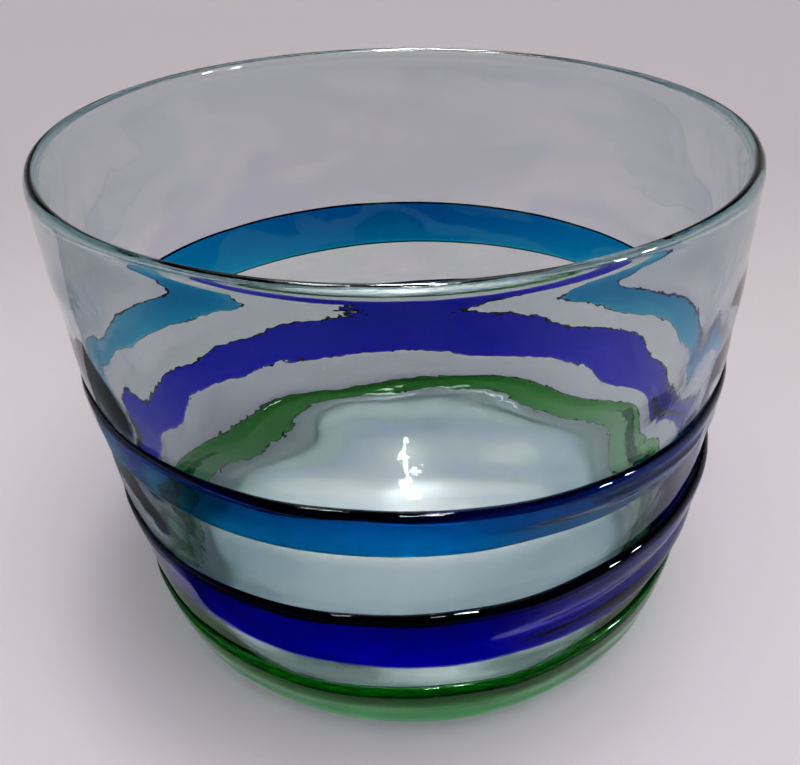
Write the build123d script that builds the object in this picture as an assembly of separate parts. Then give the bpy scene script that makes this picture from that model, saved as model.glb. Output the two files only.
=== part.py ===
from build123d import *
import os
from math import cos, radians, sin

# A blown glass bowl with three coloured trails laid round its outer wall.
# Millimetres, +Z up. The origin is the centre of the underside, on the
# surface that the bowl stands on. +Y is the far side and -Y the front.

# Blown body: outside
bowl_height = 176.0
rim_radius = 115.0
rim_thickness = 4.6
rim_tip_height = 4.2
wall_top_radius = 114.9
wall_middle_radius = 112.2
wall_low_radius = 103.4
wall_top_height = 168.0
wall_middle_height = 94.0
base_corner_height = 13.0
foot_outer_radius = 90.0
foot_inner_radius = 81.0
underside_hollow = 3.3

# Blown body: inside. Below the heavy rim the wall thins quickly, then thickens
# again down to the floor. Each pair is a height and the wall's thickness there.
wall_thicknesses = [(164.0, 3.5), (149.0, 2.5), (129.0, 2.1), (80.0, 2.6), (26.0, 3.9)]
floor_height = 7.6
inner_corner_radius = 18.4

# Trails: centre height and half width of each ribbon, and how far it stands
# proud of the wall. The ribbon's section is the outer part of an ellipse
# whose centre lies trail_seat_depth inside the wall.
trail_seat_depth = 1.2

teal_height = 98.2
teal_half_width = 9.4
teal_proud = 2.4

cobalt_height = 58.0
cobalt_half_width = 13.0
cobalt_proud = 2.6

green_height = 14.0
green_half_width = 11.0
green_proud = 2.5

# The green ribbon wraps the base corner, so its section slopes inwards.
green_slope = 14.0

# Trails are laid by hand, so they lean a little. The direction is that of the
# low side, in degrees from +X.
teal_lean = 1.8
teal_lean_direction = 50.0
cobalt_lean = 1.4
cobalt_lean_direction = 240.0
green_lean = 0.6
green_lean_direction = 90.0


def outside_edges():
    """Outline of the outside: base corner, wall and the last stretch to the rim."""
    foot = (foot_outer_radius, 0)
    low = (wall_low_radius, base_corner_height)
    middle = (wall_middle_radius, wall_middle_height)
    top = (wall_top_radius, wall_top_height)
    wall = ThreePointArc(low, middle, top)
    corner = TangentArc(low, foot, tangent=-(wall % 0))
    neck = Line(top, (rim_radius, bowl_height - rim_tip_height))
    return corner, wall, neck


def wall_radius(height):
    """Radius of the outer wall at a height above the base corner."""
    wall = outside_edges()[1]
    level = Line((0, height), (rim_radius + 10, height))
    return wall.intersect(level).vertices()[0].X


def inside_edges(rim_end):
    """Outline of the inside, from the rim down the wall to the middle of the floor."""
    wall_points = [(wall_radius(height) - thickness, height) for height, thickness in wall_thicknesses]
    low_radius, low_height = wall_points[-1]
    wall = Spline(rim_end, *wall_points)
    floor_edge = (low_radius - inner_corner_radius, floor_height)
    corner = TangentArc((low_radius, low_height), floor_edge, tangent=wall % 1)
    floor = Line(floor_edge, (0, floor_height))
    return wall, corner, floor


def revolved(edges):
    """Solid of revolution from a closed outline in radius and height."""
    return revolve(Plane.XZ * make_face(Curve() + list(edges)), Axis.Z)


def blown_body():
    """Thick floor, wall, fire-polished rim and a hollow underside inside a flat foot ring."""
    outside = outside_edges()
    rim_start = outside[-1] @ 1
    rim_end = rim_start - Vector(rim_thickness, 0)
    rim_centre = (rim_start + rim_end) / 2
    rim = EllipticalCenterArc(rim_centre, rim_thickness / 2, rim_tip_height, arc_size=180)
    inside = inside_edges(rim_end)
    middle = Line((0, floor_height), (0, underside_hollow))
    hollow = TangentArc((0, underside_hollow), (foot_inner_radius, 0), tangent=(1, 0))
    foot = Line((foot_inner_radius, 0), (foot_outer_radius, 0))
    return revolved([*outside, rim, *inside, middle, hollow, foot])


def wall_envelope():
    """All the space within the outer wall, used to cut the seats of the trails."""
    outside = outside_edges()
    rim_start = outside[-1] @ 1
    closing = Polyline(rim_start, (0, rim_start.Y), (0, 0), (foot_outer_radius, 0))
    return revolved([*outside, closing])


def trail(height, half_width, proud, envelope, lean, lean_direction, slope=0.0):
    """A closed ribbon of glass that sits face to face on the wall."""
    centre = (wall_radius(height) - trail_seat_depth, height)
    section = Plane.XZ * Location(centre, -slope) * Ellipse(proud + trail_seat_depth, half_width)
    angle = radians(lean_direction)
    tilt_axis = Axis((0, 0, height), (-sin(angle), cos(angle), 0))
    return revolve(section, Axis.Z).rotate(tilt_axis, lean) - envelope


# The seam line of the body and its envelope is a quarter turn away from those of the ribbons.
envelope = wall_envelope().rotate(Axis.Z, 90)

nodes = {
    "clear_bowl": blown_body().rotate(Axis.Z, 90),
    "teal_trail": trail(
        teal_height, teal_half_width, teal_proud, envelope, teal_lean, teal_lean_direction),
    "cobalt_trail": trail(
        cobalt_height, cobalt_half_width, cobalt_proud, envelope, cobalt_lean, cobalt_lean_direction),
    "green_trail": trail(
        green_height, green_half_width, green_proud, envelope, green_lean, green_lean_direction,
        green_slope),
}

os.makedirs("parts", exist_ok=True)
for name, shape in nodes.items():
    shape.label = name
    export_step(shape, f"parts/{name}.step")
    print(name, "volume", round(shape.volume), "solids", len(shape.solids()))
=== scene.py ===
"""Blown art glass bowl with three coloured trails, as Blender meshes around the CAD frame."""

from math import cos, pi, radians, sin, tau

import bmesh
import bpy
import numpy as np
from mathutils import Matrix, Vector


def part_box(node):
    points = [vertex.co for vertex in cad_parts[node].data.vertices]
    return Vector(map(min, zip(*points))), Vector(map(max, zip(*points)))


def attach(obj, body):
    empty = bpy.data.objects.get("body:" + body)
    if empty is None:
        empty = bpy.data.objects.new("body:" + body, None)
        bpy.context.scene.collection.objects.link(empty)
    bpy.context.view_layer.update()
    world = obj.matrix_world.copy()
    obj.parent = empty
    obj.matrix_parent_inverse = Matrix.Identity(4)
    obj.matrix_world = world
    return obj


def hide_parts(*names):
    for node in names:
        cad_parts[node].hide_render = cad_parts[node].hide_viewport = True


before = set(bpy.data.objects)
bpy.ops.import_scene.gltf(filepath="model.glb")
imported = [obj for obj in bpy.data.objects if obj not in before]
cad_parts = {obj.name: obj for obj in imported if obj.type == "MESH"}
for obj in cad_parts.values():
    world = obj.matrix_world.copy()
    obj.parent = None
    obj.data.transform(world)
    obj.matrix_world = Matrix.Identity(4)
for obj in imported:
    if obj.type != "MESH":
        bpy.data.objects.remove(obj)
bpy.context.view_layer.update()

# ---------------------------------------------------------------------------
# Sizes, in metres. Heights are measured up from the table, angles from +X.
# ---------------------------------------------------------------------------
MM = 0.001
bowl_low, bowl_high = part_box("clear_bowl")
BOWL_HEIGHT = bowl_high[2] - bowl_low[2]
RIM_RADIUS = (bowl_high[1] - bowl_low[1]) / 2
RIM_THICKNESS = 4.6 * MM
RIM_TIP = 4.2 * MM
RIM_HEIGHT = BOWL_HEIGHT - RIM_TIP

# Outer wall: an arc through three points, each a radius and a height.
WALL_TOP = (RIM_RADIUS - 0.1 * MM, 168.0 * MM)
WALL_MIDDLE = (RIM_RADIUS - 2.8 * MM, 94.0 * MM)
WALL_LOW = (RIM_RADIUS - 11.6 * MM, 13.0 * MM)
FOOT_OUTER = 90.0 * MM
FOOT_INNER = 81.0 * MM
UNDERSIDE_HOLLOW = 3.3 * MM

# Wall thickness: heights from the rim down, and the thickness at each.
THICKNESS_HEIGHTS = [RIM_HEIGHT, 169.2 * MM, 166.4 * MM, 162.6 * MM, 158.0 * MM,
                     148.4 * MM, 133.8 * MM, 93.8 * MM, 60.0 * MM, 27.0 * MM]
THICKNESSES = [RIM_THICKNESS, 4.4 * MM, 4.0 * MM, 3.5 * MM, 3.0 * MM,
               2.4 * MM, 2.1 * MM, 2.4 * MM, 2.8 * MM, 3.7 * MM]
FLOOR_HEIGHT = 6.2 * MM
FLOOR_EDGE = (80.0 * MM, 9.0 * MM)

ANGLES = 720
FUSED_GAP = 0.03 * MM
REAR = pi / 2
FRONT = -pi / 2

# Samples along the profiles, and how far each rounded corner leans on its two ends.
WALL_SAMPLES = 400
CORNER_SAMPLES = 80
HOLLOW_SAMPLES = 40
INSIDE_SAMPLES = 300
INNER_CORNER_SAMPLES = 60
CORNER_LEAD = 20 * MM
FOOT_LEAD = 16 * MM
INNER_CORNER_LEAD = 24 * MM
PROBE = 0.2 * MM

# Rings of vertices in the body: over the floor, up the inside, over the rim, and from the rim
# down past the three trails to the foot. Every second outer band lies under a trail.
FLOOR_RINGS = 14
INSIDE_RINGS = 130
RIM_RINGS = 24
OUTSIDE_RINGS = (36, 14, 16, 18, 8, 16)
FOOT_RINGS = 8
UNDERSIDE_RINGS = 13

# Rings of vertices across each trail: on its outer face, and on the face fused to the wall.
TRAIL_RINGS = {"teal_trail": 56, "cobalt_trail": 72, "green_trail": 60}
FUSED_RINGS = 14
RING_EASE = 0.25
RING_CROWDING = 0.12


# ---------------------------------------------------------------------------
# Profiles
# ---------------------------------------------------------------------------
def arc_points(start, through, end, count):
    """Points along the circular arc from start through a middle point to end."""
    (ax, ay), (bx, by), (cx, cy) = start, through, end
    d = 2 * (ax * (by - cy) + bx * (cy - ay) + cx * (ay - by))
    ux = ((ax**2 + ay**2) * (by - cy) + (bx**2 + by**2) * (cy - ay) + (cx**2 + cy**2) * (ay - by)) / d
    uy = ((ax**2 + ay**2) * (cx - bx) + (bx**2 + by**2) * (ax - cx) + (cx**2 + cy**2) * (bx - ax)) / d
    radius = np.hypot(ax - ux, ay - uy)
    first = np.arctan2(ay - uy, ax - ux)
    last = np.arctan2(cy - uy, cx - ux)
    turn = np.linspace(first, last, count)
    return np.column_stack([ux + radius * np.cos(turn), uy + radius * np.sin(turn)])


def cubic(t, start, start_slope, end, end_slope):
    """Cubic from a start to an end with given slopes, for t from 0 to 1."""
    return ((2 * t**3 - 3 * t**2 + 1) * start + (t**3 - 2 * t**2 + t) * start_slope
            + (-2 * t**3 + 3 * t**2) * end + (t**3 - t**2) * end_slope)


def rounded_corner(start, start_slope, end, end_slope, count):
    """Smooth curve between two points with given end directions."""
    t = np.linspace(0, 1, count)[:, None]
    return cubic(t, *(np.array(value) for value in (start, start_slope, end, end_slope)))


def by_length(points):
    """Distance travelled along a polyline, at each of its points."""
    steps = np.hypot(*np.diff(points, axis=0).T)
    return np.concatenate([[0], np.cumsum(steps)])


def outer_profile():
    """Radius and height from the rim down the wall, round the corner and under to the axis."""
    wall = arc_points(WALL_TOP, WALL_MIDDLE, WALL_LOW, WALL_SAMPLES)
    neck = np.array([[RIM_RADIUS, RIM_HEIGHT]])
    direction = wall[-1] - wall[-2]
    direction /= np.hypot(*direction)
    corner = rounded_corner(
        WALL_LOW, direction * CORNER_LEAD, (FOOT_OUTER, 0), (-FOOT_LEAD, 0), CORNER_SAMPLES)
    foot = np.array([[FOOT_INNER, 0]])
    reach = np.linspace(0, 1, HOLLOW_SAMPLES)
    hollow = np.column_stack([FOOT_INNER * (1 - reach), UNDERSIDE_HOLLOW * (1 - (1 - reach) ** 2)])
    return np.vstack([neck, wall, corner[1:], foot, hollow[1:]])


OUTER = outer_profile()
OUTER_LENGTH = by_length(OUTER)


def outer_at(length):
    """Point of the outer profile at a distance from the rim."""
    return np.stack([np.interp(length, OUTER_LENGTH, OUTER[:, 0]),
                     np.interp(length, OUTER_LENGTH, OUTER[:, 1])], -1)


def length_at_height(height):
    """Distance from the rim at which the wall or corner reaches a height."""
    to_table = np.argmax(OUTER[:, 1] <= 0) + 1
    return np.interp(-height, -OUTER[:to_table, 1], OUTER_LENGTH[:to_table])


def smooth_thickness(height):
    """Wall thickness at a height, as a smooth curve through the given values."""
    x = -np.array(THICKNESS_HEIGHTS)
    y = np.array(THICKNESSES)
    slopes = np.gradient(y, x)
    k = np.clip(np.searchsorted(x, -height) - 1, 0, len(x) - 2)
    span = x[k + 1] - x[k]
    t = np.clip((-height - x[k]) / span, 0, 1)
    return cubic(t, y[k], span * slopes[k], y[k + 1], span * slopes[k + 1])


def inner_profile():
    """Radius and height of the inside, from the axis out over the floor and up to the rim."""
    heights = np.linspace(THICKNESS_HEIGHTS[-1], RIM_HEIGHT, INSIDE_SAMPLES)
    radii = outer_at(length_at_height(heights))[:, 0] - smooth_thickness(heights)
    wall = np.column_stack([radii, heights])
    direction = wall[1] - wall[0]
    direction /= np.hypot(*direction)
    reach = np.linspace(0, 1, INNER_CORNER_SAMPLES)
    dish = FLOOR_EDGE[1] - FLOOR_HEIGHT
    floor = np.column_stack([FLOOR_EDGE[0] * reach, FLOOR_HEIGHT + dish * reach**2])
    slope = np.array([1.0, 2 * dish / FLOOR_EDGE[0]])
    corner = rounded_corner(FLOOR_EDGE, slope * INNER_CORNER_LEAD,
                            wall[0], direction * INNER_CORNER_LEAD, INNER_CORNER_SAMPLES)
    return np.vstack([floor[:-1], corner[:-1], wall])


INNER = inner_profile()
INNER_LENGTH = by_length(INNER)


# ---------------------------------------------------------------------------
# Irregularity of the hand work
# ---------------------------------------------------------------------------
# Optical waves in the wall: how many times each goes round the bowl, and its slope. The finer
# ones are shallower. Each wave swings sideways as it rises.
WAVE_ORDERS = (4, 7, 10, 13, 17, 22, 29, 41, 57)
WAVE_SLOPE = 0.009
FINE_ORDER = 25
FINE_SHARE = 0.45
WAVE_RISE = 55.0 * MM
RISE_SPREAD = 0.2
WAVE_SWING = 1.3
OUTSIDE_SEED = 3
INSIDE_SEED = 8

# The waves fade towards the rim, the table, and the middle of the floor and of the underside.
RIM_FADE = 25 * MM
RIM_LEAST = 0.15
TABLE_FADE = 12 * MM
FLOOR_CALM = 20 * MM
FLOOR_FADE = 50 * MM
UNDERSIDE_CALM = 0.6 * FOOT_INNER

# Rim out of round and out of level: order, cosine part and sine part of each wave round it.
RIM_ROUND = ((3, -1.05 * MM, 0.1 * MM), (2, 0.1 * MM, 0.0))
RIM_LEVEL = ((1, -2.6 * MM, -0.4 * MM), (2, 0.3 * MM, -0.8 * MM))
LEVEL_START = 100 * MM

# A thin place in the wall, just under the front rim.
THIN_DEPTH = 0.58 * MM
THIN_HEIGHT = 171 * MM
THIN_BELOW = 6.5 * MM
THIN_ABOVE = 3.0 * MM
THIN_CENTRE = FRONT + radians(-6)
THIN_SPREAD = radians(17)


def angle_from(angle, centre):
    """Signed angle from a direction, between -pi and pi."""
    return (angle - centre + pi) % tau - pi


def bump(value, centre, spread):
    """Smooth bump of height 1."""
    return np.exp(-(((value - centre) / spread) ** 2))


def step_up(value, start, end):
    """Smooth change from 0 to 1."""
    t = np.clip((value - start) / (end - start), 0, 1)
    return t * t * (3 - 2 * t)


def harmonics(angle, parts):
    return sum(a * np.cos(order * angle) + b * np.sin(order * angle) for order, a, b in parts)


def ripples(angle, height, seed):
    """Optical waves in one face of the wall, mostly running up and down it."""
    rng = np.random.default_rng(seed)
    total = np.zeros(np.broadcast(angle, height).shape)
    for order in WAVE_ORDERS:
        phase, drift, twist = rng.uniform(0, tau, 3)
        swing = WAVE_SWING * np.sin(tau * height / WAVE_RISE / (1 + RISE_SPREAD * sin(twist)) + drift)
        size = WAVE_SLOPE * RIM_RADIUS / order * (1 if order < FINE_ORDER else FINE_SHARE)
        total += size * np.sin(order * angle + phase + swing)
    return total * np.clip((RIM_HEIGHT - height) / RIM_FADE, RIM_LEAST, 1)


def body_shift(angle, height):
    """Radial shift shared by both faces of the wall: the rim's out-of-round, fading downwards."""
    return harmonics(angle, RIM_ROUND) * np.clip(height / RIM_HEIGHT, 0, 1) ** 3


def body_lift(angle, height):
    """Vertical shift shared by both faces: the rim's tilt, fading downwards."""
    fade = np.clip((height - LEVEL_START) / (RIM_HEIGHT - LEVEL_START), 0, 1) ** 2
    return harmonics(angle, RIM_LEVEL) * fade


def outside_points(angle, length, proud=0.0):
    """Radius and height on the outer surface, or standing proud of it by a distance."""
    point = outer_at(length)
    tangent = outer_at(length + PROBE) - outer_at(length - PROBE)
    tangent /= np.maximum(np.hypot(tangent[..., 0], tangent[..., 1]), 1e-12)[..., None]
    normal = np.stack([-tangent[..., 1], tangent[..., 0]], -1)
    radius, height = point[..., 0], point[..., 1]
    on_wall = np.clip((radius - UNDERSIDE_CALM) / (FOOT_INNER - UNDERSIDE_CALM), 0, 1) \
        * np.clip(height / TABLE_FADE, 0, 1)
    out = proud + ripples(angle, height, OUTSIDE_SEED) * on_wall
    return (radius + normal[..., 0] * out + body_shift(angle, height),
            height + normal[..., 1] * out + body_lift(angle, height))


def inside_points(angle, length):
    """Radius and height on the inner surface."""
    radius = np.interp(length, INNER_LENGTH, INNER[:, 0])
    height = np.interp(length, INNER_LENGTH, INNER[:, 1])
    on_wall = np.clip((radius - FLOOR_CALM) / FLOOR_FADE, 0, 1)
    spread = np.where(height < THIN_HEIGHT, THIN_BELOW, THIN_ABOVE)
    thin = THIN_DEPTH * bump(height, THIN_HEIGHT, spread)
    thin = thin * bump(angle_from(angle, THIN_CENTRE), 0, THIN_SPREAD)
    inward = ripples(angle, height, INSIDE_SEED) * on_wall - thin
    return radius - inward + body_shift(angle, height), height + body_lift(angle, height)


# ---------------------------------------------------------------------------
# Trails: the heights of their edges round the bowl, and their section
# ---------------------------------------------------------------------------
# Edges, in millimetres: level, rise towards the front, rise towards the right.
TEAL_TOP = (107.5, 2.4, -3.8)
TEAL_BOTTOM = (89.5, 4.6, -0.9)
COBALT_TOP = (69.0, -1.3, 3.4)
COBALT_BOTTOM = (43.8, -1.2, -0.7)
COBALT_DIP = 5.9 * MM
COBALT_DIP_SPREAD = radians(33)
GREEN_TOP = (25.8, 5.6, 1.4)
GREEN_BOTTOM = (3.4, -1.0, 0.0)
GREEN_SWAY = 1.6 * MM

# How far each stands proud of the wall, and how wide its rounded shoulder is, in millimetres,
# at the front, at the sides and at the back.
TEAL_PROUD, TEAL_SHOULDER = (3.1, 1.0, 2.7), (3.9, 2.4, 2.0)
COBALT_PROUD, COBALT_SHOULDER = (2.9, 0.9, 2.3), (3.1, 2.4, 2.0)
GREEN_PROUD, GREEN_SHOULDER = (2.6, 0.6, 2.7), (3.0, 1.2, 1.6)

# Where the rounded lower edge begins, as a share of the width.
TEAL_FOOT, COBALT_FOOT, GREEN_FOOT = 0.86, 0.88, 0.9

# Teal and cobalt get lower towards their lower edge, and were pulled thinner on the front left.
FACE_FALL = 0.3
FACE_FALL_FROM = 0.15
PULLED_THIN = 0.35
PULLED_CENTRE = radians(-145)
PULLED_SPREAD = radians(28)

# The thin end of the teal trail, lying on the trail itself at the front right.
TAIL_HEIGHT = 0.8 * MM
TAIL_START = (radians(-95), radians(-50))
TAIL_END = (radians(-41), radians(-35))
TAIL_CENTRE = radians(-45)
TAIL_PLACE = 0.5
TAIL_DESCENT = 0.25
TAIL_SPREAD = 0.14

# The cobalt trail's swelling, and the groove that makes a double ridge of it, on the same side.
SWELL_HEIGHT = 1.2 * MM
SWELL_CENTRE = radians(-25)
SWELL_SPREAD = radians(35)
RIDGE_START = (radians(-92), radians(-55))
RIDGE_END = (radians(5), radians(50))
RIDGE_RISE = 0.25
GROOVE_DEPTH = 0.62
GROOVE_PLACE = 0.56
GROOVE_SPREAD = 0.16

# The green trail is thick along its upper edge only, more so at the back.
GREEN_STEP = (0.2, 0.55)
GREEN_FALL = 0.58
GREEN_FALL_BACK = 0.17


def edge(angle, level, front, right):
    """Height of a trail's edge all round."""
    return (level - front * np.sin(angle) + right * np.cos(angle)) * MM


def teal_edges(angle):
    return edge(angle, *TEAL_TOP), edge(angle, *TEAL_BOTTOM)


def cobalt_edges(angle):
    dip = COBALT_DIP * bump(angle_from(angle, REAR), 0, COBALT_DIP_SPREAD)
    return edge(angle, *COBALT_TOP) - dip, edge(angle, *COBALT_BOTTOM)


def green_edges(angle):
    return edge(angle, *GREEN_TOP) + GREEN_SWAY * np.cos(2 * angle), edge(angle, *GREEN_BOTTOM)


def round_the_bowl(angle, sizes):
    """A size that changes smoothly from the front of the bowl to its sides and back."""
    front, side, back = (size * MM for size in sizes)
    ahead = -np.sin(angle)
    return side + (front - back) / 2 * ahead + ((front + back) / 2 - side) * ahead**2


def rounding(share, width, shoulder, foot_from):
    """Quarter rounds that lift the upper edge off the wall and close the lower edge."""
    upper = np.clip(share * width / shoulder, 0, 1)
    lower = np.clip((share - foot_from) / (1 - foot_from), 0, 1)
    return np.sqrt(np.maximum(0, 1 - (1 - upper) ** 2)) * np.sqrt(np.maximum(0, 1 - lower**2))


def pulled_thin(angle):
    return 1 - PULLED_THIN * bump(angle_from(angle, PULLED_CENTRE), 0, PULLED_SPREAD)


def between(angle, start, end):
    """1 from one place round the bowl to another, changing smoothly at both."""
    wrapped = angle_from(angle, 0)
    return step_up(wrapped, *start) * (1 - step_up(wrapped, *end))


def teal_section(angle, share, width):
    proud = round_the_bowl(angle, TEAL_PROUD) * pulled_thin(angle)
    face = 1 - FACE_FALL * step_up(share, FACE_FALL_FROM, 1)
    place = TAIL_PLACE + TAIL_DESCENT * angle_from(angle, TAIL_CENTRE)
    tail = TAIL_HEIGHT * between(angle, TAIL_START, TAIL_END) * bump(share, place, TAIL_SPREAD)
    return (proud * face + tail) * rounding(
        share, width, round_the_bowl(angle, TEAL_SHOULDER), TEAL_FOOT)


def cobalt_section(angle, share, width):
    proud = round_the_bowl(angle, COBALT_PROUD) * pulled_thin(angle)
    proud += SWELL_HEIGHT * bump(angle_from(angle, SWELL_CENTRE), 0, SWELL_SPREAD)
    double = between(angle, RIDGE_START, RIDGE_END)
    face = 1 - FACE_FALL * step_up(share, FACE_FALL_FROM, 1) + RIDGE_RISE * double * share
    groove = 1 - GROOVE_DEPTH * double * bump(share, GROOVE_PLACE, GROOVE_SPREAD)
    return proud * face * groove * rounding(
        share, width, round_the_bowl(angle, COBALT_SHOULDER), COBALT_FOOT)


def green_section(angle, share, width):
    proud = round_the_bowl(angle, GREEN_PROUD)
    face = 1 - (GREEN_FALL - GREEN_FALL_BACK * np.sin(angle)) * step_up(share, *GREEN_STEP)
    return proud * face * rounding(share, width, round_the_bowl(angle, GREEN_SHOULDER), GREEN_FOOT)


TRAILS = {
    "teal_trail": (teal_edges, teal_section),
    "cobalt_trail": (cobalt_edges, cobalt_section),
    "green_trail": (green_edges, green_section),
}


# ---------------------------------------------------------------------------
# Meshes
# ---------------------------------------------------------------------------
def ring_angles():
    return np.arange(ANGLES) * tau / ANGLES


def to_points(radius, height, angle):
    return np.stack([radius * np.cos(angle), radius * np.sin(angle),
                     np.broadcast_to(height, radius.shape)], -1)


def ring_of_points(surface, length, *more):
    """A ring of vertices at a distance along one of the two surfaces."""
    angle = ring_angles()
    return to_points(*surface(angle, np.broadcast_to(length, angle.shape), *more), angle)


def loop_faces(first_ring, second_ring):
    """Quads between two rings of vertices, given each ring's number."""
    k = np.arange(ANGLES)
    n = (k + 1) % ANGLES
    first, second = first_ring * ANGLES, second_ring * ANGLES
    return np.column_stack([second + k, second + n, first + n, first + k]).tolist()


def make_piece(name, vertices, faces, fused, ground, replaced):
    """A smooth mesh object whose faces carry marks: fused to other glass, or ground matt."""
    mesh = bpy.data.meshes.new(name)
    mesh.from_pydata(vertices.reshape(-1, 3).tolist(), [], faces)
    mesh.update()
    for label, values in (("fused", fused), ("ground", ground)):
        mark = mesh.attributes.new(label, "FLOAT", "FACE")
        mark.data.foreach_set("value", np.asarray(values, dtype=np.float32))
    mesh.polygons.foreach_set("use_smooth", [True] * len(mesh.polygons))
    piece = stand(name, mesh)
    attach(piece, "root")
    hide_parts(replaced)
    return piece


def outside_rows():
    """Distances of the body's outer rings from the rim, with a ring on every trail edge."""
    angle = ring_angles()
    stops = [np.zeros(ANGLES)]
    for edges, _ in TRAILS.values():
        stops += [length_at_height(height) for height in edges(angle)]
    stops.append(np.full(ANGLES, OUTER_LENGTH[-1] - FOOT_INNER))
    rows, fused = [], []
    for band, count in enumerate((*OUTSIDE_RINGS, FOOT_RINGS)):
        for step in range(count):
            rows.append(stops[band] + (stops[band + 1] - stops[band]) * step / count)
            fused.append(band % 2)
    for step in np.arange(UNDERSIDE_RINGS) / UNDERSIDE_RINGS:
        rows.append(np.full(ANGLES, OUTER_LENGTH[-1] - FOOT_INNER * (1 - step)))
        fused.append(0)
    return rows, fused


def build_body():
    """The clear glass: one closed skin up the inside, over the rim and down the outside."""
    angle = ring_angles()
    lengths = np.concatenate([np.linspace(0.05, 0.95, FLOOR_RINGS) * FLOOR_EDGE[0],
                              np.linspace(FLOOR_EDGE[0], INNER_LENGTH[-1], INSIDE_RINGS)])
    rings = [ring_of_points(inside_points, length) for length in lengths]

    outer_radius, rim_height = outside_points(angle, np.zeros(ANGLES))
    inner_radius, _ = inside_points(angle, np.full(ANGLES, INNER_LENGTH[-1]))
    middle, half = (outer_radius + inner_radius) / 2, (outer_radius - inner_radius) / 2
    for turn in np.linspace(pi, 0, RIM_RINGS + 2)[1:-1]:
        rings.append(to_points(middle + half * cos(turn), rim_height + RIM_TIP * sin(turn), angle))

    rows, row_fused = outside_rows()
    fused = [0] * len(rings) + row_fused
    rings += [ring_of_points(outside_points, row) for row in rows]

    ground_from = len(rings) - UNDERSIDE_RINGS - FOOT_RINGS
    faces, face_fused, face_ground = [], [], []
    for k in range(len(rings) - 1):
        faces += loop_faces(k, k + 1)
        face_fused += [fused[k]] * ANGLES
        face_ground += [k >= ground_from] * ANGLES
    vertices = np.concatenate([*rings, [[0, 0, FLOOR_HEIGHT], [0, 0, UNDERSIDE_HOLLOW]]])
    floor_pole, under_pole = len(vertices) - 2, len(vertices) - 1
    last = (len(rings) - 1) * ANGLES
    for k in range(ANGLES):
        n = (k + 1) % ANGLES
        faces += [[floor_pole, k, n], [under_pole, last + n, last + k]]
        face_fused += [0, 0]
        face_ground += [0, 1]
    return make_piece("clear_body", vertices, faces, face_fused, face_ground,
                      "clear_bowl")


def build_trail(node):
    """One trail: a closed band, with an outer face and a face fused to the wall."""
    edges, section = TRAILS[node]
    angle = ring_angles()
    top, bottom = (length_at_height(height) for height in edges(angle))
    width = bottom - top
    even = np.linspace(0, 1, TRAIL_RINGS[node] + 1)
    eased = (1 - RING_EASE) * even + RING_EASE * (1 - np.cos(even * pi)) / 2
    across = eased * even / (RING_CROWDING + (1 - RING_CROWDING) * even)
    rings = []
    for share in across:
        proud = FUSED_GAP + section(angle, np.full(ANGLES, share), width)
        rings.append(ring_of_points(outside_points, top + width * share, proud))
    fused = [0] * (len(rings) - 1) + [1] * FUSED_RINGS
    for step in range(FUSED_RINGS - 1, 0, -1):
        rings.append(ring_of_points(outside_points, top + width * step / FUSED_RINGS, FUSED_GAP))
    faces = []
    for k in range(len(rings)):
        faces += loop_faces(k, (k + 1) % len(rings))
    return make_piece(node + "_glass", np.concatenate(rings), faces, np.repeat(fused, ANGLES),
                      np.zeros(len(faces)), node)


# ---------------------------------------------------------------------------
# Materials
# ---------------------------------------------------------------------------
GLASS_IOR = 1.5
CLEAR_TINT = (0.84, 0.865, 0.88)
# A deeper grey-green painted on the near wall as shade.
NEAR_WALL_PAINTED_SHADE = (0.5, 0.56, 0.6)
NO_TINT = (1.0, 1.0, 1.0)
MATT = 0.4
HAMMER_DEPTH = 0.028 * MM
HAMMER_SCALE = 260.0
HAMMER_DETAIL = 2.0

# The tint of the clear glass begins above the floor. On the near wall, in a belt, a deeper grey-green
# is painted shade.
TINT_START = (9 * MM, 24 * MM)
PAINTED_SHADE_FRONT = (-30 * MM, -90 * MM)
PAINTED_SHADE_BELT_START = (46 * MM, 62 * MM)
PAINTED_SHADE_BELT_END = (86 * MM, 102 * MM)

# Absorption in the depth of each glass: colour, and density in 1/m.
CLEAR_ABSORPTION = ((0.0, 0.4, 0.4), 22)
TRAIL_GLASS = {
    "teal_trail": ("teal_glass", ((0.0, 0.84, 0.93), 3600)),
    "cobalt_trail": ("cobalt_glass", ((0.0, 0.0, 0.94), 3900)),
    "green_trail": ("green_glass", ((0.05, 0.74, 0.0), 1500)),
}


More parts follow.
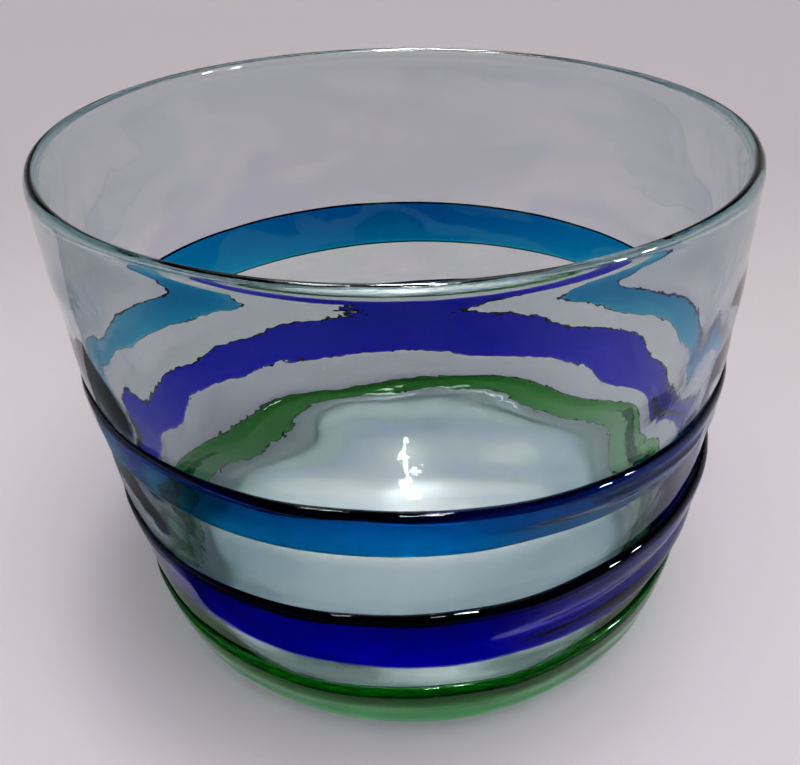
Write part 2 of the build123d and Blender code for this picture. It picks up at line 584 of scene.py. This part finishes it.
class Nodes:
    """The few kinds of node that the materials and the room are built from."""

    def __init__(self, tree):
        self.tree = tree

    def add(self, kind, **settings):
        node = self.tree.nodes.new("ShaderNode" + kind)
        for name, value in settings.items():
            setattr(node, name, value)
        return node

    def put(self, socket, value):
        """Link an output to a socket, or set the socket's own value."""
        if isinstance(value, bpy.types.NodeSocket):
            self.tree.links.new(value, socket)
        else:
            socket.default_value = (*value, 1) if socket.type == "RGBA" else value

    def position(self, space="Object"):
        return self.add("TexCoord").outputs[space]

    def split(self, vector):
        node = self.add("SeparateXYZ")
        self.put(node.inputs["Vector"], vector)
        return node.outputs

    def vector(self, operation, first, second=None):
        node = self.add("VectorMath", operation=operation)
        self.put(node.inputs[0], first)
        if second is not None:
            self.put(node.inputs[1], second)
        return node.outputs["Vector" if operation == "NORMALIZE" else "Value"]

    def math(self, operation, first, second, clamp=False):
        node = self.add("Math", operation=operation, use_clamp=clamp)
        self.put(node.inputs[0], first)
        self.put(node.inputs[1], second)
        return node.outputs["Value"]

    def ramp(self, value, start, end, low=0.0, high=1.0, smooth=True):
        node = self.add("MapRange", interpolation_type="SMOOTHSTEP" if smooth else "LINEAR")
        settings = {"From Min": start, "From Max": end, "To Min": low, "To Max": high, "Value": value}
        for name, setting in settings.items():
            self.put(node.inputs[name], setting)
        return node.outputs["Result"]

    def blend(self, factor, first, second):
        node = self.add("Mix", data_type="RGBA")
        self.put(node.inputs["Factor"], factor)
        colours = [socket for socket in node.inputs if socket.type == "RGBA"]
        self.put(colours[0], first)
        self.put(colours[1], second)
        return next(socket for socket in node.outputs if socket.type == "RGBA")

    def mark(self, name):
        return self.add("Attribute", attribute_name=name).outputs["Fac"]


def new_material(name, colour, roughness):
    """A material, its nodes and its main shader."""
    material = bpy.data.materials.new(name)
    material.use_nodes = True
    nodes = Nodes(material.node_tree)
    shader = material.node_tree.nodes["Principled BSDF"]
    nodes.put(shader.inputs["Base Color"], colour)
    nodes.put(shader.inputs["Roughness"], roughness)
    return material, nodes, shader


def glass(name, tint, absorption):
    """Transparent glass: absorption in its depth, and no refraction on faces fused to other glass."""
    material, nodes, shader = new_material(name, tint, 0.0)
    nodes.put(shader.inputs["Transmission Weight"], 1.0)
    index = nodes.ramp(nodes.mark("fused"), 0.0, 1.0, GLASS_IOR, 1.0, smooth=False)
    nodes.put(shader.inputs["IOR"], index)
    absorb = nodes.add("VolumeAbsorption")
    nodes.put(absorb.inputs["Color"], absorption[0])
    nodes.put(absorb.inputs["Density"], absorption[1])
    nodes.put(material.node_tree.nodes["Material Output"].inputs["Volume"], absorb.outputs["Volume"])
    return material, nodes, shader


def tint_and_painted_shade(nodes, shader):
    """Clear base, tinted wall, and a deeper grey-green painted shade on the near wall, in a belt."""
    place = nodes.split(nodes.position())
    wall = nodes.blend(nodes.ramp(place["Z"], *TINT_START), NO_TINT, CLEAR_TINT)
    # Painted shade: a deeper grey-green on the near wall, in a belt.
    near = nodes.blend(nodes.ramp(place["Y"], *PAINTED_SHADE_FRONT), CLEAR_TINT, NEAR_WALL_PAINTED_SHADE)
    low = nodes.blend(nodes.ramp(place["Z"], *PAINTED_SHADE_BELT_START), wall, near)
    full = nodes.blend(nodes.ramp(place["Z"], *PAINTED_SHADE_BELT_END), low, CLEAR_TINT)
    nodes.put(shader.inputs["Base Color"], full)


def matt_underside(nodes, shader):
    """The foot and the underside are ground matt."""
    roughness = nodes.ramp(nodes.mark("ground"), 0.0, 1.0, 0.0, MATT, smooth=False)
    nodes.put(shader.inputs["Roughness"], roughness)


def fine_hammering(nodes, shader):
    """The faint orange-peel of blown glass."""
    noise = nodes.add("TexNoise")
    nodes.put(noise.inputs["Vector"], nodes.position())
    nodes.put(noise.inputs["Scale"], HAMMER_SCALE)
    nodes.put(noise.inputs["Detail"], HAMMER_DETAIL)
    relief = nodes.add("Bump")
    nodes.put(relief.inputs["Strength"], 1.0)
    nodes.put(relief.inputs["Distance"], HAMMER_DEPTH)
    nodes.put(relief.inputs["Height"], noise.outputs["Fac"])
    nodes.put(shader.inputs["Normal"], relief.outputs["Normal"])


def clear_glass():
    material, nodes, shader = glass("clear_glass_look", CLEAR_TINT, CLEAR_ABSORPTION)
    tint_and_painted_shade(nodes, shader)
    matt_underside(nodes, shader)
    fine_hammering(nodes, shader)
    return material


# ---------------------------------------------------------------------------
# Stage, light and camera
# ---------------------------------------------------------------------------
# The paper's tones are painted light and shade: lighter near the front and darker far away, painted
# light under the foot, and a painted shadow round the bowl.
PAPER_NEAR_LIT = (0.71, 0.67, 0.68)
PAPER_FAR_DIM = (0.53, 0.505, 0.52)
# Paper under the foot, painted lighter: painted light seen through the base.
PAPER_PAINTED_LIGHT_UNDER = (0.75, 0.71, 0.7)
# Tone of the painted shadow on the paper round the bowl.
PAINTED_SHADOW_TONE = (0.42, 0.405, 0.415)
PAPER_ROUGHNESS = 0.9
PAPER_SPECULAR = 0.2
PAPER_RADIUS = 6.0
PAPER_SIDES = 96
PAPER_DROP = 0.02 * MM
PAINTED_FALLOFF_SPAN = (-0.12, 0.5)
# Where the painted shadow round the bowl is centred, and where it fades out.
PAINTED_SHADOW_CENTRE = (-12 * MM, -6 * MM, 0)
PAINTED_SHADOW_REACH = (86 * MM, 146 * MM)

# The card: radii, the angles where it starts and ends, its tones, and the places where it
# changes from one to the other, as the cosine of the angle from +X.
# The card's tones are painted reflections: shade on the near side, lighter to the left and right.
CARD_RADII = (0.122, 0.9)
CARD_ANGLES = (radians(-200), radians(20))
CARD_STEPS = 96
CARD_LIFT = 1 * MM
CARD_DARK = (0.01, 0.01, 0.01)
CARD_LEFT = (0.25, 0.26, 0.27)
CARD_RIGHT = (0.62, 0.6, 0.66)
CARD_LEFT_EDGE = (-0.88, -0.96)
CARD_RIGHT_EDGE = (0.2, 0.8)

# The room as the glass sees it, and the sky as the paper sees it. Each change is a range of the
# cosine of the angle from an axis.
BACKDROP = (0.42, 0.4, 0.415)
DIM = (0.02, 0.02, 0.023)
UP = (0, 0, 1)
DIM_ABOVE = (0.12, 0.5)
NEAR_SIDE = Vector((0, -0.9, 0.44)).normalized()
DIM_NEAR = (0.1, 0.6)
CEILING_AXIS = Vector((0.05, 0.5, 0.87)).normalized()
CEILING_EDGE = (0.86, 0.97)
CEILING_STRENGTH = 1.7
CEILING_COLOUR = (1.0, 0.98, 0.97)
SKY_AXIS = Vector((0.2, -0.28, 1.0)).normalized()
SKY_EDGE = (0.8, 0.98)
SKY_STRENGTHS = (0.4, 2.15)
SKY_COLOUR = (1.0, 0.97, 0.985)

# Lamps that show only as highlights: place, size, radiance, whether they show through glass, and
# the point they face.
BOWL_MIDDLE = (0, 0, 0.1)
FRONT_RIM = (0, -RIM_RADIUS, BOWL_HEIGHT)
LAMPS = {
    "ceiling_left_near": ((-0.36, -0.22, 1.5), (0.07, 0.32), 45, True, BOWL_MIDDLE),
    "ceiling_right_near": ((0.15, -0.47, 1.5), (0.08, 0.28), 45, True, BOWL_MIDDLE),
    "side_near": ((1.5, -0.71, 0.9), (0.1, 0.16), 90, True, BOWL_MIDDLE),
    "ceiling_left_far": ((-0.36, 0.18, 1.5), (0.07, 0.32), 45, True, BOWL_MIDDLE),
    "ceiling_right_far": ((0.15, -0.13, 1.5), (0.08, 0.28), 45, True, BOWL_MIDDLE),
    "side_far": ((1.5, -0.39, 0.9), (0.1, 0.16), 90, True, BOWL_MIDDLE),
    "front_strip": ((0.02, -0.62, 1.35), (0.09, 0.1), 45, False, BOWL_MIDDLE),
    "rim_strip": ((0.0, 0.45, 1.4), (0.2, 0.5), 30, False, FRONT_RIM),
}

# The wavy glint on the inner floor is a row of small lamps rising along a line inside the bowl:
# how far each is to the right, and its width.
GLINTS = ((1.0, 3.0), (1.5, 3.0), (6.0, 5.0), (1.5, 3.0), (-0.5, 3.0),
          (0.0, 3.0), (2.5, 4.0), (6.5, 7.0), (12.5, 9.0))
GLINT_STEP = 4.6 * MM
GLINT_LENGTH = 1.5 * GLINT_STEP
GLINT_MIDDLE = (83 * MM, 46 * MM)
GLINT_LINE = (-0.625, 0.78)
GLINT_FACING = (35 * MM, 7.5 * MM)
GLINT_RADIANCE = 55
GLINT_SPREAD = radians(24)

# The camera stands in front of the bowl, looks down at it, and is turned and rolled a little.
CAMERA_DISTANCE = 2.492 * RIM_RADIUS
CAMERA_HEIGHT = 264.2 * MM
CAMERA_PITCH = radians(33.28)
CAMERA_YAW = radians(-0.546)
CAMERA_ROLL = radians(-3.12)
SENSOR_WIDTH = 36.0
FOCAL_SHARE = 883.9 / 800
CLIP_START = 0.01


def stand(name, data):
    """An object made from a mesh, a light or a camera, in the scene."""
    thing = bpy.data.objects.new(name, data)
    bpy.context.scene.collection.objects.link(thing)
    return thing


def paper_material(name, colour):
    material, nodes, shader = new_material(name, colour, PAPER_ROUGHNESS)
    nodes.put(shader.inputs["Specular IOR Level"], PAPER_SPECULAR)
    return material, nodes, shader


def build_floor():
    """Pale paper with painted light and shade: lighter near, a little darker far away, painted
    lighter under the foot, and a painted shadow round the bowl.
    """
    mesh = bpy.data.meshes.new("floor")
    bm = bmesh.new()
    bmesh.ops.create_circle(bm, cap_ends=True, radius=PAPER_RADIUS, segments=PAPER_SIDES)
    bm.to_mesh(mesh)
    bm.free()
    floor = stand("floor", mesh)
    floor.location = (0, 0, -PAPER_DROP)
    paper, nodes, shader = paper_material("floor_paper_painted_light_and_shade", PAPER_NEAR_LIT)
    place = nodes.position()

    def ring(centre, start, end, inside, outside):
        """One tone near a point on the paper, another further away."""
        distance = nodes.vector("DISTANCE", place, centre)
        return nodes.blend(nodes.ramp(distance, start, end), inside, outside)

    # Painted light falloff: lighter near the front, darker far away.
    tone = nodes.blend(nodes.ramp(nodes.split(place)["Y"], *PAINTED_FALLOFF_SPAN), PAPER_NEAR_LIT, PAPER_FAR_DIM)
    # A painted shadow round the bowl.
    painted_shadow = ring(PAINTED_SHADOW_CENTRE, *PAINTED_SHADOW_REACH, PAINTED_SHADOW_TONE, tone)
    # Painted light on the paper under the foot, which also keeps the painted shadow off it.
    under = ring((0, 0, 0), FOOT_INNER, FOOT_OUTER, PAPER_PAINTED_LIGHT_UNDER, painted_shadow)
    nodes.put(shader.inputs["Base Color"], under)
    mesh.materials.append(paper)


def build_card():
    """A card round the near side, lying on the floor, that shows only in reflections: painted
    reflections, dark for the dim near side of the room, greyer to the left and pale to the right.
    """
    turns = np.linspace(*CARD_ANGLES, CARD_STEPS + 1)
    circle = np.column_stack([np.cos(turns), np.sin(turns), 0 * turns])
    vertices = np.concatenate([circle * radius for radius in CARD_RADII])
    count = len(turns)
    faces = [(k, k + 1, count + k + 1, count + k) for k in range(count - 1)]
    mesh = bpy.data.meshes.new("card")
    mesh.from_pydata(vertices.tolist(), [], faces)
    material, nodes, shader = paper_material("card", CARD_DARK)
    cosine = nodes.split(nodes.vector("NORMALIZE", nodes.position()))["X"]
    tone = nodes.blend(nodes.ramp(cosine, *CARD_LEFT_EDGE), CARD_DARK, CARD_LEFT)
    tone = nodes.blend(nodes.ramp(cosine, *CARD_RIGHT_EDGE), tone, CARD_RIGHT)
    nodes.put(shader.inputs["Base Color"], tone)
    mesh.materials.append(material)
    card = stand("card", mesh)
    card.location = (0, 0, CARD_LIFT)
    card.visible_camera = card.visible_diffuse = False
    card.visible_transmission = card.visible_shadow = False


def build_world():
    """A pale backdrop all round, a dim room above it, and a lit ceiling.

    Reflections also see the near side of the room dim. The paper is lit by a soft sky overhead.
    """
    world = bpy.data.worlds.new("studio")
    world.use_nodes = True
    world.node_tree.nodes.remove(world.node_tree.nodes["Background"])
    nodes = Nodes(world.node_tree)
    direction = nodes.position("Generated")
    path = nodes.add("LightPath").outputs

    def towards(axis, start, end, low=0.0, high=1.0):
        """Smooth change with the angle from a direction in the room."""
        return nodes.ramp(nodes.vector("DOT_PRODUCT", direction, axis), start, end, low, high)

    def background(colour, strength=1.0):
        node = nodes.add("Background")
        nodes.put(node.inputs["Color"], colour)
        nodes.put(node.inputs["Strength"], strength)
        return node.outputs["Background"]

    reflected = nodes.math("GREATER_THAN", path["Glossy Depth"], 0.5)
    near = nodes.math("MULTIPLY", towards(NEAR_SIDE, *DIM_NEAR), reflected)
    dimming = nodes.math("MAXIMUM", towards(UP, *DIM_ABOVE), near)
    room = background(nodes.blend(dimming, BACKDROP, DIM))
    ceiling = background(CEILING_COLOUR, towards(CEILING_AXIS, *CEILING_EDGE, 0.0, CEILING_STRENGTH))
    seen = nodes.add("AddShader")
    nodes.put(seen.inputs[0], room)
    nodes.put(seen.inputs[1], ceiling)
    sky = background(SKY_COLOUR, towards(SKY_AXIS, *SKY_EDGE, *SKY_STRENGTHS))

    direct = nodes.math("ADD", path["Is Glossy Ray"], path["Is Transmission Ray"], clamp=True)
    direct = nodes.math("MAXIMUM", direct, path["Is Camera Ray"])
    direct = nodes.math("MULTIPLY", direct, nodes.math("LESS_THAN", path["Diffuse Depth"], 0.5))
    mix = nodes.add("MixShader")
    nodes.put(mix.inputs["Fac"], direct)
    nodes.put(mix.inputs[1], sky)
    nodes.put(mix.inputs[2], seen.outputs["Shader"])
    nodes.put(world.node_tree.nodes["World Output"].inputs["Surface"], mix.outputs["Shader"])
    bpy.context.scene.world = world


def lamp(name, place, size, radiance, through, facing, spread=pi):
    light = bpy.data.lights.new(name, "AREA")
    light.shape = "RECTANGLE"
    light.size, light.size_y = size
    light.energy = radiance * pi * size[0] * size[1]
    light.spread = spread
    holder = stand(name, light)
    holder.location = place
    holder.rotation_euler = (Vector(facing) - Vector(place)).to_track_quat("-Z", "Y").to_euler()
    holder.visible_diffuse = holder.visible_camera = False
    holder.visible_transmission = through


def build_lights():
    for name, settings in LAMPS.items():
        lamp(name, *settings)
    for k, (side, width) in enumerate(GLINTS):
        along = (k - (len(GLINTS) - 1) / 2) * GLINT_STEP
        back, height = (middle + slope * along for middle, slope in zip(GLINT_MIDDLE, GLINT_LINE))
        lamp(f"floor_glint_{k}", (side * MM, back, height), (width * MM, GLINT_LENGTH),
             GLINT_RADIANCE, True, (side * MM, *GLINT_FACING), GLINT_SPREAD)


def build_camera():
    camera = bpy.data.cameras.new("camera")
    camera.sensor_fit = "HORIZONTAL"
    camera.sensor_width = SENSOR_WIDTH
    camera.lens = FOCAL_SHARE * SENSOR_WIDTH
    camera.clip_start = CLIP_START
    forward = Vector((sin(CAMERA_YAW) * cos(CAMERA_PITCH), cos(CAMERA_YAW) * cos(CAMERA_PITCH),
                      -sin(CAMERA_PITCH)))
    right = forward.cross(Vector(UP)).normalized()
    up = right.cross(forward)
    turned_right = right * cos(CAMERA_ROLL) + up * sin(CAMERA_ROLL)
    turned_up = up * cos(CAMERA_ROLL) - right * sin(CAMERA_ROLL)
    rotation = Matrix((turned_right, turned_up, -forward)).transposed().to_4x4()
    holder = stand("camera", camera)
    holder.matrix_world = Matrix.Translation((0, -CAMERA_DISTANCE, CAMERA_HEIGHT)) @ rotation
    bpy.context.scene.camera = holder


body = build_body()
body.data.materials.append(clear_glass())
for node, (slot, absorption) in TRAIL_GLASS.items():
    piece = build_trail(node)
    piece.data.materials.append(glass(slot + "_look", NO_TINT, absorption)[0])
    # The green trail would tint the paper round the foot more than the real one does.
    piece.visible_diffuse = node != "green_trail"

build_floor()
build_card()
build_world()
build_lights()
build_camera()

scene = bpy.context.scene
scene.view_settings.view_transform = "Standard"
scene.view_settings.look = "High Contrast"
scene.cycles.max_bounces = 40
scene.cycles.transmission_bounces = 40
scene.cycles.glossy_bounces = 12
scene.cycles.diffuse_bounces = 6
